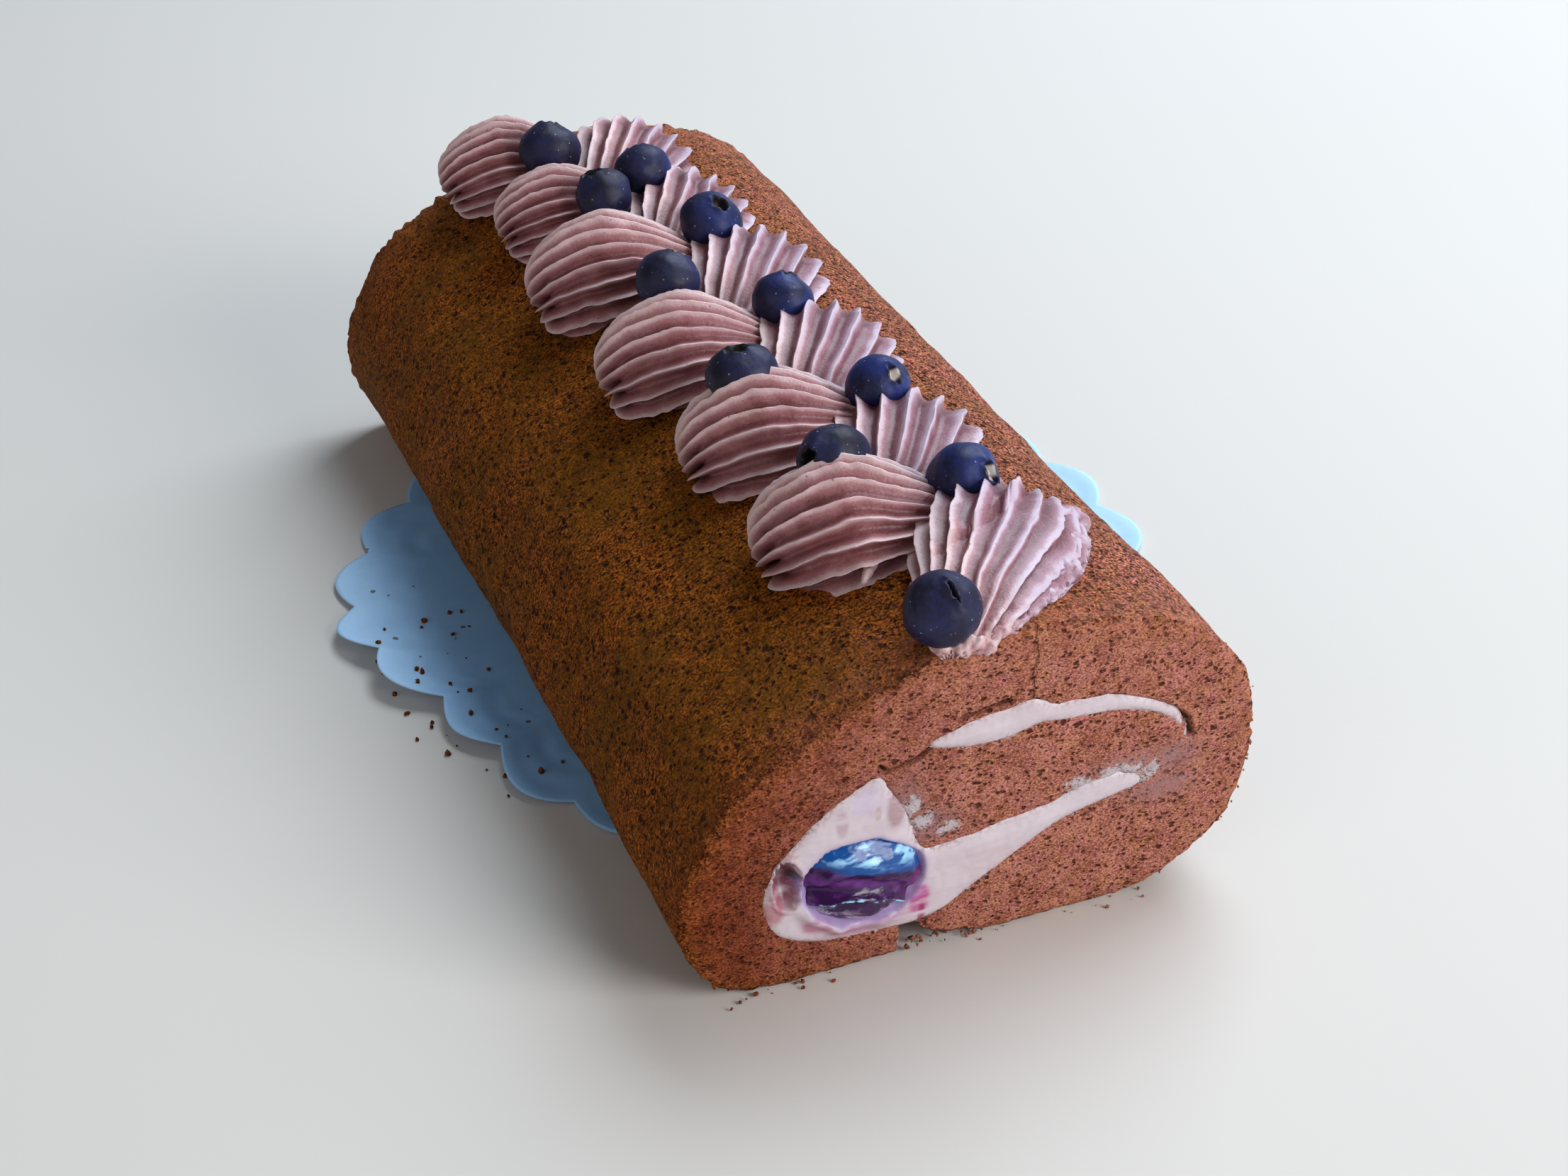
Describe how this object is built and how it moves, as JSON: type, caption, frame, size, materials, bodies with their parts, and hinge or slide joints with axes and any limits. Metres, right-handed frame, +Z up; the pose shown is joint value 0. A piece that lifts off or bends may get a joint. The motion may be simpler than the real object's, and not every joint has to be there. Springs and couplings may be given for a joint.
{
  "type": "chocolate cake roll",
  "caption": "Chocolate cake roll cut clean at both ends, with pale cream and blueberry inside, piped cream shells and blueberries on top, on a scalloped paper.",
  "frame": {"origin": "on the table, under the middle of the roll's length and of its near cut face's width; the paper's flat underside is there", "axes": "+Y along the roll, away from the cut face that the picture shows; +X to the right seen from that face; +Z up"},
  "size_m": [0.1463, 0.1882, 0.0663],
  "materials": {
    "sponge": "matt, fine open crumb",
    "filling_cream": "soft satin",
    "piped_cream": "satin to matt",
    "blueberry": "matt skin with a faint bloom",
    "cut_blueberry": "wet, glossy",
    "paper": "matt"
  },
  "bodies": {
    "root": {"sponge": "sponge", "cream_upper_layer": "filling_cream", "cream_filling": "filling_cream", "filling_blueberry_near": "cut_blueberry", "filling_blueberry_far": "cut_blueberry", "shell_left_1": "piped_cream", "shell_left_2": "piped_cream", "shell_left_3": "piped_cream", "shell_left_4": "piped_cream", "shell_left_5": "piped_cream", "shell_left_6": "piped_cream", "shell_right_1": "piped_cream", "shell_right_2": "piped_cream", "shell_right_3": "piped_cream", "shell_right_4": "piped_cream", "shell_right_5": "piped_cream", "shell_right_6": "piped_cream", "blueberry_01": "blueberry", "blueberry_02": "blueberry", "blueberry_03": "blueberry", "blueberry_04": "blueberry", "blueberry_05": "blueberry", "blueberry_06": "blueberry", "blueberry_07": "blueberry", "blueberry_08": "blueberry", "blueberry_09": "blueberry", "blueberry_10": "blueberry", "blueberry_11": "blueberry", "paper_doily": "paper"}
  },
  "joints": []
}
